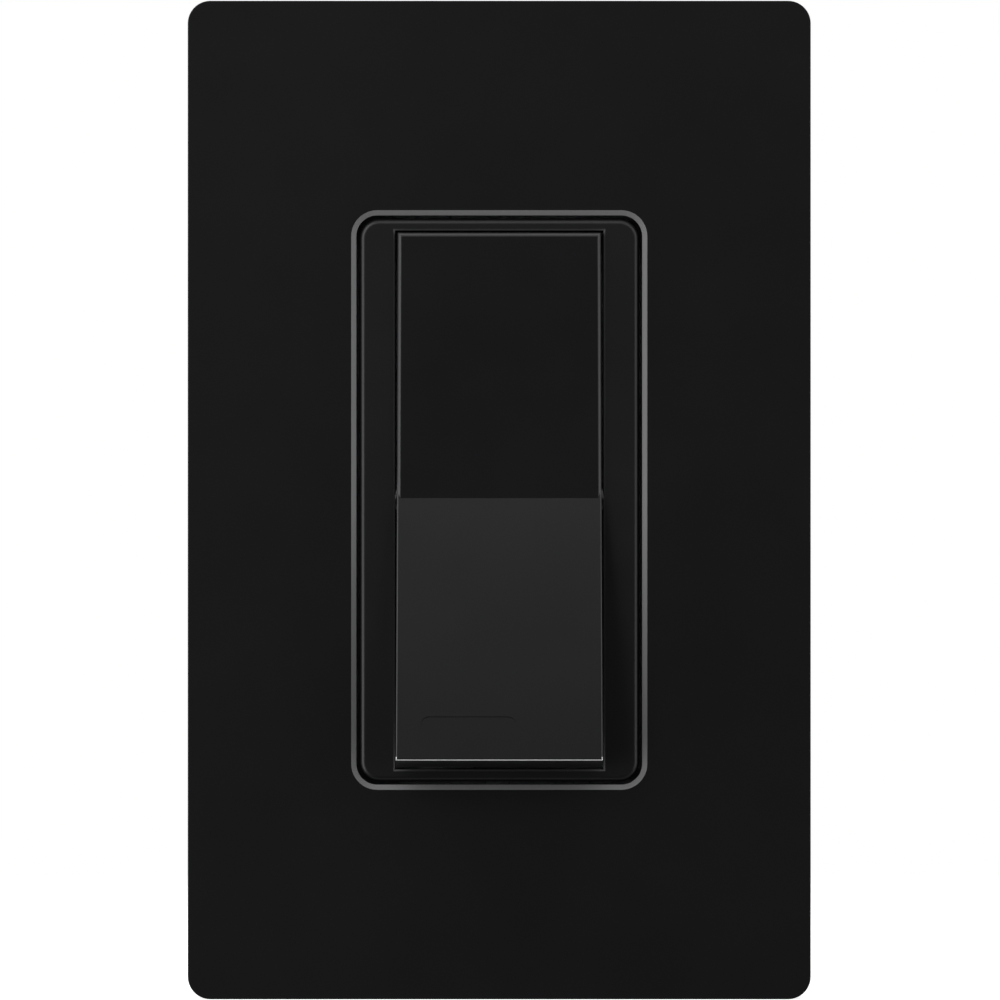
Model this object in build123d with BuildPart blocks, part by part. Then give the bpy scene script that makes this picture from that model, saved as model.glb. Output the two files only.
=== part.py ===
"""Decorator-style rocker wall switch with a screwless cover plate that clips on.

Millimetres. +Z is up, +X is right as seen from the room, +Y goes into the wall.
The wall surface is the plane Y = 0 and the origin is at the middle of the cover plate on it.
The switch is drawn switched on: the upper half of the rocker is pressed in, the lower stands out.
"""

import os
from math import cos, radians, sin, tan

from build123d import *

# Cover plate
PLATE_WIDTH = 74.5
PLATE_HEIGHT = 119.4
PLATE_DEPTH = 8.0
PLATE_CORNER = 2.7
PLATE_SKIN = 1.8
PLATE_SIDE = 1.5
PLATE_EDGE_ROUND = 0.12
OPENING_WIDTH = 34.2
OPENING_HEIGHT = 68.1
OPENING_CORNER = 2.5
OPENING_BEVEL_WIDTH = 0.6
OPENING_BEVEL_DEPTH = 0.42
PRY_NOTCH_WIDTH = 10.0
PRY_NOTCH_DEPTH = 1.2

# Hooks of the cover plate, which catch in windows of the adapter's skirt
HOOK_WIDTH = 7.0
HOOK_THICKNESS = 1.0
HOOK_REACH = 1.3
HOOK_BACK = -1.2
HOOK_X = 20.0
HOOK_Z = 30.0
HOOK_CLEARANCE = 0.4

# Mounting strap: its back stands a hair off the wall so that the cover plate's rim lands first
STRAP_BACK = -0.1
STRAP_THICKNESS = 1.2
STRAP_FRONT = STRAP_BACK - STRAP_THICKNESS
STRAP_LENGTH = 105.6
STRAP_WIDTH = 35.0
STRAP_CORNER = 3.0
EAR_WIDTH = 44.4
EAR_START = 37.0
STRAP_WINDOW = (9.4, 11.2)
BOX_SCREW_PITCH = 83.34
PLATE_SCREW_PITCH = 96.85
BOX_SLOT_LENGTH = 8.4
BOX_SLOT_WIDTH = 4.2
SCORE_LENGTH = 6.0
SCORE_WIDTH = 1.0
SCORE_X = 14.5
GROUND_LUG_X = -13.0
GROUND_LUG_BACK = 10.0
GROUND_LUG_TOP = -33.0
GROUND_LUG_BOTTOM = -38.0

# Adapter plate between the strap and the cover plate
ADAPTER_GAP = 0.45
ADAPTER_THICKNESS = 2.0
ADAPTER_FRONT = STRAP_FRONT - ADAPTER_THICKNESS
ADAPTER_BACK = -0.2
ADAPTER_SKIRT = 1.4
ADAPTER_RIB = 2.0
ADAPTER_RIB_HEIGHT = 2.6
ADAPTER_BEZEL_GAP = 0.65

# Bezel around the rocker
BEZEL_WIDTH = 33.5
BEZEL_HEIGHT = 67.4
BEZEL_CORNER = 2.4
BEZEL_FRONT = -7.6
BEZEL_ROUND = 0.7
BEZEL_OPENING_WIDTH = 24.95
BEZEL_OPENING_EDGE = 0.2
ROCKER_END_GAP = 0.22

# Rocker: a shallow V of two equal halves that turns on a pin behind the crease
SWING = 11.0
HALF_V = SWING / 2
PIVOT_BEHIND_CREASE = 2.4
ROCKER_PROUD = 0.9
CREASE_Y = BEZEL_FRONT - ROCKER_PROUD
PIVOT_Y = CREASE_Y + PIVOT_BEHIND_CREASE * cos(radians(HALF_V))
HALF_LENGTH = 31.7
ROCKER_TOP_WIDTH = 24.3
ROCKER_BOTTOM_WIDTH = 24.6
ROCKER_DEPTH = 5.5
ROCKER_SKIN = 1.8
ROCKER_CHEEK = 1.5
UPPER_EDGE_ROUND = 0.5
LOWER_EDGE_ROUND = 0.18
HUB_RADIUS = 2.3
TRIM_SPARE = 1.0
RIB_THICKNESS = 1.2
RIB_X = 7.0
RIB_DEPTH = 3.0
POST_RADIUS = 3.5
POST_END = 13.5
POST_BORE = 2.2
POST_BORE_START = 3.0
PIN_RADIUS = 1.0
PIN_LENGTH = 32.9
PIN_RUNNING_GAP = 0.05
PIN_SEAT_GAP = 0.02
PIN_CHAMFER = 0.2
BOSS_END_RADIUS = 1.65
BOSS_END_GAP = 0.1
BUMPER_WIDTH = 16.0
BUMPER_HEIGHT = 2.6
BUMPER_THICKNESS = 1.4
BUMPER_Z = 30.4

# A plain pill-shaped recess low on the rocker, where a maker would put a mark
MARK_LENGTH = 11.3
MARK_HEIGHT = 1.9
MARK_DEPTH = 0.12
MARK_X = -3.65
MARK_DOWN = 27.4

# Plunger and its spring inside the rocker's post, measured back from the pivot
PLUNGER_RADIUS = 2.12
PLUNGER_BACK = 8.5
PLUNGER_TIP = 18.0
PLUNGER_NUB_RADIUS = 1.1
PLUNGER_NUB_LENGTH = 1.2
SPRING_WIRE = 0.22
SPRING_RADIUS = 1.7
SPRING_START = 3.3
SPRING_LENGTH = 4.9
SPRING_TURNS = 5

# Contact arm: a shallow V of copper strip that tips on a ridge of the load terminal
ARM_SWING = 10.0
ARM_BEND = 2.0
ARM_THICKNESS = 0.8
ARM_LOW = 15.5
ARM_HIGH = 11.5
ARM_WIDTH = 8.4
ARM_WAIST = 6.0
ARM_NOTCH = 1.8
ARM_CORNER = 1.2
TIP_GAP = 0.09
RIDGE_RADIUS = 0.8
RIDGE_GAP = 0.05
ARM_FRONT = PIVOT_Y + PLUNGER_TIP + TIP_GAP
FULCRUM_Y = ARM_FRONT + ARM_THICKNESS + RIDGE_GAP + RIDGE_RADIUS
CONTACT_Z = 13.0
CONTACT_RADIUS = 2.0
CONTACT_DOME = 6.0
CONTACT_TAIL = 0.9
CONTACT_PEEN = 1.4
CONTACT_PEEN_HEIGHT = 0.3
CONTACT_GAP = 0.05
FIXED_CONTACT_HEIGHT = 1.2
FIXED_CONTACT_RADIUS = 2.2
FIXED_CONTACT_EDGE = 0.25

# Case, and the insulating cover between it and the strap
CASE_WIDTH = 35.0
CASE_HEIGHT = 63.6
CASE_CORNER = 2.0
COVER_THICKNESS = 1.5
COVER_WINDOW = (8.4, 9.8)
CASE_FRONT = STRAP_BACK + COVER_THICKNESS
CASE_BACK = 27.4
CASE_WALL = 2.0
CASE_FLOOR = CASE_BACK - CASE_WALL
CASE_EDGE = 0.4
ASSEMBLY_X = 14.67
ASSEMBLY_Z = 28.8
ASSEMBLY_RADIUS = 1.25
ASSEMBLY_HEAD_RADIUS = 2.2
ASSEMBLY_HEAD_HEIGHT = 1.5
ASSEMBLY_TIP = -5.0
BOSS_RADIUS = 2.8
SCREW_GAP = 0.2
SEAT_GAP = 0.02
BACK_LABEL = (17.0, 24.0)
BACK_LABEL_DEPTH = 0.3
STRIP_GAUGE = (12.7, 1.6)
RELEASE_SLOT = (1.0, 3.2)
RELEASE_SLOT_FROM_WIRE = -3.4
LEG_RIB = 2.0
MIDDLE_RIB_Z = 4.5

# Terminals and push-in wire clips
BRASS = 1.0
LEG_FRONT = 16.0
LEG_BACK = LEG_FRONT + BRASS
LEG_WIDTH = 6.0
TERMINAL_Z = 18.0
TERMINAL_PLATE_X = 12.5
TERMINAL_PLATE_HEIGHT = 10.0
TERMINAL_PLATE_FRONT = 7.5
TERMINAL_SCREW_Y = 11.5
TERMINAL_SCREW_RADIUS = 2.05
TERMINAL_SCREW_END = 8.5
TERMINAL_HEAD_RADIUS = 3.8
TERMINAL_HEAD_HEIGHT = 2.2
POCKET_HEIGHT = 11.2
POCKET_FRONT = 7.0
POCKET_WALL = 1.2
WIRE_X = 8.0
WIRE_RADIUS = 1.1
WIRE_FUNNEL = 0.6
EAR_SIZE = 0.8
EAR_PITCH = 8.0
CLIP_THICKNESS = 0.4
CLIP_WIDTH = 5.0
CLIP_FOOT = 4.0
CLIP_SHOULDER = 2.4
CLIP_BITE = 0.9
CLIP_RISE = 4.1
CLIP_BEND = 0.6
CLIP_TOP = 0.9
CLIP_FOOT_GAP = 0.3
OFF_STOP_FRONT = 13.5
OFF_STOP_Z = 9.8
OFF_STOP_SIZE = (4.0, 2.4)
OFF_STOP_EDGE = 0.3

# Fasteners
BOX_SCREW_RADIUS = 1.75
BOX_SCREW_NECK = 1.5
BOX_SCREW_END = 25.0
BOX_HEAD_RADIUS = 3.6
BOX_HEAD_HEIGHT = 1.9
BOX_HEAD_CLEARANCE = 0.8
RETAINER_SIZE = 8.0
RETAINER_THICKNESS = 1.0
PLATE_SCREW_RADIUS = 1.7
PLATE_SCREW_END = 9.4
PLATE_HEAD_RADIUS = 3.4
PLATE_HEAD_ANGLE = 82
SLOT_WIDTH = 0.9
SLOT_DEPTH = 0.8
SCREW_POINT = 0.6
HEAD_GAP = 0.1
RETAINER_CORNER = 0.8
GROUND_SCREW_Y = 5.6
GROUND_SCREW_Z = -35.5
GROUND_HEAD_RADIUS = 3.2
GROUND_HEAD_HEIGHT = 2.4
GROUND_SCREW_LENGTH = 6.0


def at_depth(y):
    """The plane at depth y that faces the room: its x is X and its y is Z."""
    return Plane.XZ.offset(-y)


def facing_back(y):
    """The plane at depth y that faces into the wall: its x is -X and its y is Z."""
    return Plane(origin=(0, y, 0), x_dir=(-1, 0, 0), z_dir=(0, 1, 0))


def rocking_side(pivot_y, angle):
    """Side plane of a piece that rocks on an X axis: x points into the wall, y points up."""
    turn = radians(angle)
    return Plane(
        origin=(0, pivot_y, 0), x_dir=(0, cos(turn), sin(turn)), z_dir=(1, 0, 0)
    )


def rocking_front(pivot_y, angle):
    """Front plane of a piece that rocks on an X axis: x points right, y points up."""
    turn = radians(angle)
    return Plane(
        origin=(0, pivot_y, 0), x_dir=(1, 0, 0), z_dir=(0, -cos(turn), -sin(turn))
    )


def nearest_face(builder):
    """The face nearest the room."""
    return builder.faces().sort_by(Axis.Y)[0]


def v_band(front_offset, back_offset, radius):
    """Fill a shallow V band behind the rocker's face, ended by arcs about the pivot."""
    lean = radians(HALF_V)
    corners = []
    for offset_back in (front_offset, back_offset):
        apex = -PIVOT_BEHIND_CREASE + offset_back / cos(lean)
        run = apex * sin(lean) + (radius**2 - (apex * cos(lean)) ** 2) ** 0.5
        corners.append((apex, apex - run * sin(lean), run * cos(lean)))
    (front_apex, front_x, front_y), (back_apex, back_x, back_y) = corners
    crown_x = (front_x + back_x) / 2
    crown_y = (radius**2 - crown_x**2) ** 0.5
    with BuildLine() as outline:
        Polyline((front_x, -front_y), (front_apex, 0), (front_x, front_y))
        ThreePointArc((front_x, front_y), (crown_x, crown_y), (back_x, back_y))
        Polyline((back_x, back_y), (back_apex, 0), (back_x, -back_y))
        ThreePointArc((back_x, -back_y), (crown_x, -crown_y), (front_x, -front_y))
    make_face(outline.edges())


def turned_screw(plane, profile, slot_radius):
    """Revolve a screw's half profile about the plane's x axis and cut a driver slot in its head."""
    with BuildSketch(plane) as half:
        Polygon(*profile, align=None)
    revolve(half.sketch, axis=Axis(plane.origin, plane.x_dir))
    with BuildSketch(Plane(origin=plane.origin, x_dir=plane.z_dir, z_dir=plane.x_dir)) as slot:
        Rectangle(2 * slot_radius, SLOT_WIDTH)
    extrude(slot.sketch, amount=SLOT_DEPTH, mode=Mode.SUBTRACT)


# ---------------------------------------------------------------- cover plate and adapter

inner_width = PLATE_WIDTH - 2 * PLATE_SIDE
inner_height = PLATE_HEIGHT - 2 * PLATE_SIDE

with BuildPart() as faceplate:
    with BuildSketch(at_depth(0)):
        RectangleRounded(PLATE_WIDTH, PLATE_HEIGHT, PLATE_CORNER)
    extrude(amount=PLATE_DEPTH)
    fillet(nearest_face(faceplate).edges(), PLATE_EDGE_ROUND)
    with BuildSketch(at_depth(0)):
        RectangleRounded(inner_width, inner_height, PLATE_CORNER - PLATE_SIDE)
    extrude(amount=PLATE_DEPTH - PLATE_SKIN, mode=Mode.SUBTRACT)
    with BuildSketch(at_depth(0)):
        RectangleRounded(OPENING_WIDTH, OPENING_HEIGHT, OPENING_CORNER)
    extrude(amount=PLATE_DEPTH, mode=Mode.SUBTRACT)
    front = nearest_face(faceplate)
    chamfer(front.inner_wires()[0].edges(), OPENING_BEVEL_WIDTH, OPENING_BEVEL_DEPTH, reference=front)
    with BuildSketch(at_depth(HOOK_BACK)):
        with GridLocations(2 * HOOK_X, inner_height - HOOK_REACH, 2, 2):
            Rectangle(HOOK_WIDTH, HOOK_REACH)
        with GridLocations(inner_width - HOOK_REACH, 2 * HOOK_Z, 2, 2):
            Rectangle(HOOK_REACH, HOOK_WIDTH)
    extrude(amount=HOOK_THICKNESS)
    with BuildSketch(at_depth(0)):
        with Locations((0, -PLATE_HEIGHT / 2)):
            Rectangle(PRY_NOTCH_WIDTH, 3 * PLATE_SIDE)
    extrude(amount=PRY_NOTCH_DEPTH, mode=Mode.SUBTRACT)

adapter_width = inner_width - 2 * ADAPTER_GAP
adapter_height = inner_height - 2 * ADAPTER_GAP
adapter_opening_width = BEZEL_WIDTH + 2 * ADAPTER_BEZEL_GAP
adapter_opening_height = BEZEL_HEIGHT + 2 * ADAPTER_BEZEL_GAP
hook_window = HOOK_WIDTH + 2 * HOOK_CLEARANCE
hook_pocket = 2 * (HOOK_REACH - ADAPTER_GAP + HOOK_CLEARANCE)

with BuildPart() as adapter_plate:
    with BuildSketch(at_depth(ADAPTER_BACK)):
        RectangleRounded(adapter_width, adapter_height, PLATE_CORNER - PLATE_SIDE)
    extrude(amount=ADAPTER_BACK - ADAPTER_FRONT)
    with BuildSketch(at_depth(ADAPTER_FRONT)):
        Rectangle(
            adapter_opening_width + 2 * ADAPTER_RIB, adapter_opening_height + 2 * ADAPTER_RIB
        )
    extrude(amount=ADAPTER_RIB_HEIGHT)
    with BuildSketch(at_depth(ADAPTER_BACK)):
        Rectangle(adapter_width - 2 * ADAPTER_SKIRT, adapter_height - 2 * ADAPTER_SKIRT)
    extrude(amount=ADAPTER_BACK - STRAP_FRONT, mode=Mode.SUBTRACT)
    with BuildSketch(at_depth(0)):
        RectangleRounded(adapter_opening_width, adapter_opening_height, BEZEL_CORNER)
        with GridLocations(0, BOX_SCREW_PITCH, 1, 2):
            Circle(BOX_HEAD_RADIUS + BOX_HEAD_CLEARANCE)
    extrude(amount=PLATE_DEPTH, mode=Mode.SUBTRACT)
    with Locations(at_depth(ADAPTER_FRONT)):
        with GridLocations(0, PLATE_SCREW_PITCH, 1, 2):
            CounterSinkHole(
                PLATE_SCREW_RADIUS + SEAT_GAP, PLATE_HEAD_RADIUS + SEAT_GAP, counter_sink_angle=PLATE_HEAD_ANGLE
            )
    with BuildSketch(at_depth(HOOK_BACK + HOOK_CLEARANCE)):
        with GridLocations(2 * HOOK_X, adapter_height, 2, 2):
            Rectangle(hook_window, hook_pocket)
        with GridLocations(adapter_width, 2 * HOOK_Z, 2, 2):
            Rectangle(hook_pocket, hook_window)
    extrude(amount=HOOK_THICKNESS + 2 * HOOK_CLEARANCE, mode=Mode.SUBTRACT)

# ---------------------------------------------------------------- mounting strap

with BuildPart() as strap:
    with BuildSketch(at_depth(STRAP_BACK)):
        Rectangle(STRAP_WIDTH, STRAP_LENGTH - 2 * STRAP_CORNER)
        ear_height = STRAP_LENGTH / 2 - EAR_START
        with GridLocations(0, STRAP_LENGTH - ear_height, 1, 2):
            RectangleRounded(EAR_WIDTH, ear_height, STRAP_CORNER)
        Rectangle(*STRAP_WINDOW, mode=Mode.SUBTRACT)
        with GridLocations(0, BOX_SCREW_PITCH, 1, 2):
            SlotOverall(BOX_SLOT_LENGTH, BOX_SLOT_WIDTH, mode=Mode.SUBTRACT)
        with GridLocations(0, PLATE_SCREW_PITCH, 1, 2):
            Circle(PLATE_SCREW_RADIUS + SEAT_GAP, mode=Mode.SUBTRACT)
        with GridLocations(2 * ASSEMBLY_X, 2 * ASSEMBLY_Z, 2, 2):
            Circle(ASSEMBLY_RADIUS + SCREW_GAP, mode=Mode.SUBTRACT)
        with GridLocations(2 * SCORE_X, STRAP_LENGTH - ear_height, 2, 2):
            SlotOverall(SCORE_LENGTH, SCORE_WIDTH, rotation=90, mode=Mode.SUBTRACT)
    extrude(amount=STRAP_THICKNESS)
    with BuildSketch(Plane.YZ.offset(GROUND_LUG_X)):
        with Locations((GROUND_LUG_BACK / 2, (GROUND_LUG_TOP + GROUND_LUG_BOTTOM) / 2)):
            Rectangle(GROUND_LUG_BACK - 2 * STRAP_BACK, GROUND_LUG_TOP - GROUND_LUG_BOTTOM)
        with Locations((GROUND_SCREW_Y, GROUND_SCREW_Z)):
            Circle(BOX_SCREW_RADIUS + SEAT_GAP, mode=Mode.SUBTRACT)
    extrude(amount=-STRAP_THICKNESS)

# Rubber bumpers on the strap, under the rocker's two ends
with BuildPart() as bumpers:
    with BuildSketch(at_depth(STRAP_FRONT)):
        with GridLocations(0, 2 * BUMPER_Z, 1, 2):
            SlotOverall(BUMPER_WIDTH, BUMPER_HEIGHT)
    extrude(amount=BUMPER_THICKNESS)

# ---------------------------------------------------------------- rocker, pin and bezel

rocker_side = rocking_side(PIVOT_Y, -HALF_V)
rocker_front = rocking_front(PIVOT_Y, -HALF_V)
end_height = HALF_LENGTH * cos(radians(HALF_V))
end_depth = PIVOT_BEHIND_CREASE + HALF_LENGTH * sin(radians(HALF_V))
end_radius = (end_height**2 + end_depth**2) ** 0.5
outline_half = end_radius + TRIM_SPARE
outline_half_top = (
    ROCKER_TOP_WIDTH / 2
    - (ROCKER_BOTTOM_WIDTH - ROCKER_TOP_WIDTH) / 4 * (outline_half / end_height - 1)
)
outline_half_bottom = ROCKER_TOP_WIDTH / 2 + ROCKER_BOTTOM_WIDTH / 2 - outline_half_top
swing = radians(SWING)
lower_face = Plane(
    origin=(0, CREASE_Y, PIVOT_BEHIND_CREASE * sin(radians(HALF_V))),
    x_dir=(1, 0, 0),
    z_dir=(0, -cos(swing), sin(swing)),
)

with BuildPart() as rocker:
    with BuildSketch(rocker_side):
        v_band(0, ROCKER_DEPTH, end_radius)
    extrude(amount=ROCKER_BOTTOM_WIDTH, both=True)
    # the sides draw in a little towards the top
    with BuildSketch(rocker_front):
        Polygon(
            (-outline_half_bottom, -outline_half),
            (outline_half_bottom, -outline_half),
            (outline_half_top, outline_half),
            (-outline_half_top, outline_half),
            align=None,
        )
    extrude(amount=2 * ROCKER_BOTTOM_WIDTH, both=True, mode=Mode.INTERSECT)
    faces = rocker.faces().filter_by(lambda face: face.normal_at().Y < -0.9).sort_by(Axis.Z)
    fillet(faces[-1].edges().sort_by(Axis.Z)[1:], UPPER_EDGE_ROUND)
    faces = rocker.faces().filter_by(lambda face: face.normal_at().Y < -0.9).sort_by(Axis.Z)
    fillet(faces[0].edges().sort_by(Axis.Z)[:-1], LOWER_EDGE_ROUND)
    # hollow from behind
    with BuildSketch(rocker_side):
        v_band(ROCKER_SKIN, ROCKER_DEPTH + TRIM_SPARE, end_radius - ROCKER_CHEEK)
    extrude(amount=ROCKER_TOP_WIDTH / 2 - ROCKER_CHEEK, both=True, mode=Mode.SUBTRACT)
    # hub across the rocker, stiffening ribs along it, and the post that drives the contact arm
    with BuildSketch(rocker_side):
        Circle(HUB_RADIUS)
    extrude(amount=ROCKER_TOP_WIDTH / 2 - ROCKER_CHEEK / 2, both=True)
    # round ends of the hub, which run beside the bezel and hide the pin
    with BuildSketch(rocker_side):
        Circle(BOSS_END_RADIUS)
    extrude(amount=BEZEL_OPENING_WIDTH / 2 - BOSS_END_GAP, both=True)
    for x in (-RIB_X, RIB_X):
        with BuildSketch(rocker_side.offset(x - RIB_THICKNESS / 2)):
            v_band(ROCKER_SKIN / 2, ROCKER_SKIN + RIB_DEPTH, end_radius - ROCKER_CHEEK / 2)
        extrude(amount=RIB_THICKNESS)
    with BuildSketch(rocker_front):
        Circle(POST_RADIUS)
    extrude(amount=PIVOT_BEHIND_CREASE - ROCKER_SKIN / 2)
    with BuildSketch(rocker_front):
        Circle(POST_RADIUS)
    extrude(amount=-POST_END)
    with BuildSketch(rocker_front.offset(-POST_BORE_START)):
        Circle(POST_BORE)
    extrude(amount=-POST_END, mode=Mode.SUBTRACT)
    with BuildSketch(rocker_side):
        Circle(PIN_RADIUS + PIN_RUNNING_GAP)
    extrude(amount=BEZEL_OPENING_WIDTH, both=True, mode=Mode.SUBTRACT)
    with BuildSketch(lower_face):
        with Locations((MARK_X, -MARK_DOWN)):
            SlotOverall(MARK_LENGTH, MARK_HEIGHT)
    extrude(amount=-MARK_DEPTH, mode=Mode.SUBTRACT)

with BuildPart() as pivot_pin:
    with BuildSketch(Plane.YZ):
        with Locations((PIVOT_Y, 0)):
            Circle(PIN_RADIUS)
    extrude(amount=PIN_LENGTH / 2, both=True)
    chamfer(pivot_pin.edges().filter_by(GeomType.CIRCLE), PIN_CHAMFER)

bezel_opening_height = 2 * (end_radius + ROCKER_END_GAP)

with BuildPart() as bezel:
    with BuildSketch(at_depth(STRAP_FRONT)):
        RectangleRounded(BEZEL_WIDTH, BEZEL_HEIGHT, BEZEL_CORNER)
    extrude(amount=STRAP_FRONT - BEZEL_FRONT)
    fillet(nearest_face(bezel).edges(), BEZEL_ROUND)
    with BuildSketch(at_depth(STRAP_FRONT)):
        Rectangle(BEZEL_OPENING_WIDTH, bezel_opening_height)
    extrude(amount=STRAP_FRONT - BEZEL_FRONT, mode=Mode.SUBTRACT)
    chamfer(nearest_face(bezel).inner_wires()[0].edges(), BEZEL_OPENING_EDGE)
    with BuildSketch(at_depth(STRAP_FRONT)):
        with GridLocations(2 * ASSEMBLY_X, 2 * ASSEMBLY_Z, 2, 2):
            Circle(ASSEMBLY_RADIUS + SEAT_GAP)
    extrude(amount=STRAP_FRONT - ASSEMBLY_TIP + SCREW_GAP, mode=Mode.SUBTRACT)
    with BuildSketch(Plane.YZ):
        with Locations((PIVOT_Y, 0)):
            Circle(PIN_RADIUS + PIN_SEAT_GAP)
    extrude(amount=BEZEL_WIDTH, both=True, mode=Mode.SUBTRACT)

# ---------------------------------------------------------------- plunger and spring in the post

tip_radius = PLUNGER_RADIUS
plunger_shoulder = PLUNGER_TIP - tip_radius

with BuildPart() as plunger:
    with BuildSketch(rocker_side):
        with BuildLine():
            Polyline(
                (plunger_shoulder, tip_radius),
                (PLUNGER_BACK, tip_radius),
                (PLUNGER_BACK, PLUNGER_NUB_RADIUS),
                (PLUNGER_BACK - PLUNGER_NUB_LENGTH, PLUNGER_NUB_RADIUS),
                (PLUNGER_BACK - PLUNGER_NUB_LENGTH, 0),
                (PLUNGER_TIP, 0),
            )
            RadiusArc((PLUNGER_TIP, 0), (plunger_shoulder, tip_radius), -tip_radius)
        make_face()
    revolve(axis=Axis(rocker_side.origin, rocker_side.x_dir))

spring_plane = rocker_front.offset(-SPRING_START - SPRING_LENGTH)

with BuildPart() as plunger_spring:
    with BuildLine():
        coil = Helix(
            pitch=SPRING_LENGTH / SPRING_TURNS,
            height=SPRING_LENGTH,
            radius=SPRING_RADIUS,
            center=spring_plane.origin,
            direction=spring_plane.z_dir,
        )
    with BuildSketch(Plane(origin=coil @ 0, z_dir=coil % 0)):
        Circle(SPRING_WIRE)
    sweep(path=coil, is_frenet=True)

# ---------------------------------------------------------------- contact arm and its contact

arm_side = rocking_side(FULCRUM_Y, ARM_SWING / 2)
arm_front = rocking_front(FULCRUM_Y, ARM_SWING / 2)
arm_back_apex = -RIDGE_RADIUS - RIDGE_GAP
arm_apex = arm_back_apex - ARM_THICKNESS
bend = tan(radians(ARM_BEND))

with BuildPart() as contact_arm:
    with BuildSketch(arm_side):
        Polygon(
            (arm_apex - ARM_LOW * bend, -ARM_LOW),
            (arm_apex, 0),
            (arm_apex - ARM_HIGH * bend, ARM_HIGH),
            (arm_back_apex - ARM_HIGH * bend, ARM_HIGH),
            (arm_back_apex, 0),
            (arm_back_apex - ARM_LOW * bend, -ARM_LOW),
            align=None,
        )
    extrude(amount=ARM_WIDTH / 2, both=True)
    # notches at the ridge, where the terminal's ears keep the arm in place
    with BuildSketch(arm_front):
        with GridLocations(ARM_WIDTH, 0, 2, 1):
            Rectangle(ARM_WIDTH - ARM_WAIST, ARM_NOTCH)
    extrude(amount=ARM_WIDTH, both=True, mode=Mode.SUBTRACT)
    fillet(contact_arm.edges().filter_by(Axis.Y, tolerance=8).group_by(Axis.Z)[0], ARM_CORNER)
    fillet(contact_arm.edges().filter_by(Axis.Y, tolerance=8).group_by(Axis.Z)[-1], ARM_CORNER)
    with BuildSketch(arm_front):
        with Locations((0, -CONTACT_Z)):
            Circle(CONTACT_TAIL + SEAT_GAP)
    extrude(amount=ARM_WIDTH, both=True, mode=Mode.SUBTRACT)

# Where the moving contact sits: on the back of the arm's lower half
arm_turn = radians(ARM_SWING / 2)
contact_turn = radians(ARM_SWING / 2 - ARM_BEND)
contact_x = arm_back_apex - CONTACT_Z * bend
contact_y = FULCRUM_Y + contact_x * cos(arm_turn) + CONTACT_Z * sin(arm_turn)
contact_z = contact_x * sin(arm_turn) - CONTACT_Z * cos(arm_turn)
moving_side = Plane(
    origin=(0, contact_y, contact_z),
    x_dir=(0, cos(contact_turn), sin(contact_turn)),
    z_dir=(1, 0, 0),
)
fixed_face = LEG_FRONT - FIXED_CONTACT_HEIGHT
dome_centre = (fixed_face - CONTACT_GAP - CONTACT_DOME - contact_y) / cos(contact_turn)
dome_shoulder = dome_centre + (CONTACT_DOME**2 - CONTACT_RADIUS**2) ** 0.5

with BuildPart() as moving_contact:
    with BuildSketch(moving_side):
        with BuildLine():
            Polyline(
                (dome_shoulder, CONTACT_RADIUS),
                (0, CONTACT_RADIUS),
                (0, CONTACT_TAIL),
                (-ARM_THICKNESS, CONTACT_TAIL),
                (-ARM_THICKNESS, CONTACT_PEEN),
                (-ARM_THICKNESS - CONTACT_PEEN_HEIGHT, CONTACT_TAIL),
                (-ARM_THICKNESS - CONTACT_PEEN_HEIGHT, 0),
                (dome_centre + CONTACT_DOME, 0),
            )
            RadiusArc(
                (dome_centre + CONTACT_DOME, 0), (dome_shoulder, CONTACT_RADIUS), -CONTACT_DOME
            )
        make_face()
    revolve(axis=Axis(moving_side.origin, moving_side.x_dir))

with BuildPart() as fixed_contact:
    with BuildSketch(at_depth(fixed_face)):
        with Locations((0, -CONTACT_Z)):
            Circle(FIXED_CONTACT_RADIUS)
    extrude(amount=-FIXED_CONTACT_HEIGHT)
    with BuildSketch(at_depth(LEG_FRONT)):
        with Locations((0, -CONTACT_Z)):
            Circle(CONTACT_TAIL)
    extrude(amount=-BRASS)
    with BuildSketch(at_depth(LEG_BACK)):
        with Locations((0, -CONTACT_Z)):
            Circle(CONTACT_PEEN)
    extrude(amount=-CONTACT_PEEN_HEIGHT)
    chamfer(nearest_face(fixed_contact).edges(), FIXED_CONTACT_EDGE)

# ---------------------------------------------------------------- terminals


def terminal_plate_and_leg(z):
    """The plate under a terminal screw and the leg that runs from it to the middle of the case."""
    plate_right = TERMINAL_PLATE_X + BRASS
    with BuildSketch(Plane.YZ.offset(TERMINAL_PLATE_X)) as plate:
        with Locations(((TERMINAL_PLATE_FRONT + LEG_BACK) / 2, z)):
            Rectangle(LEG_BACK - TERMINAL_PLATE_FRONT, TERMINAL_PLATE_HEIGHT)
        with Locations((TERMINAL_SCREW_Y, z)):
            Circle(TERMINAL_SCREW_RADIUS + SEAT_GAP, mode=Mode.SUBTRACT)
    extrude(plate.sketch, amount=BRASS)
    with BuildSketch(at_depth(LEG_FRONT)) as leg:
        with Locations(((plate_right - LEG_WIDTH / 2) / 2, z)):
            Rectangle(plate_right + LEG_WIDTH / 2, LEG_WIDTH)
    extrude(leg.sketch, amount=-BRASS)


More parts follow.
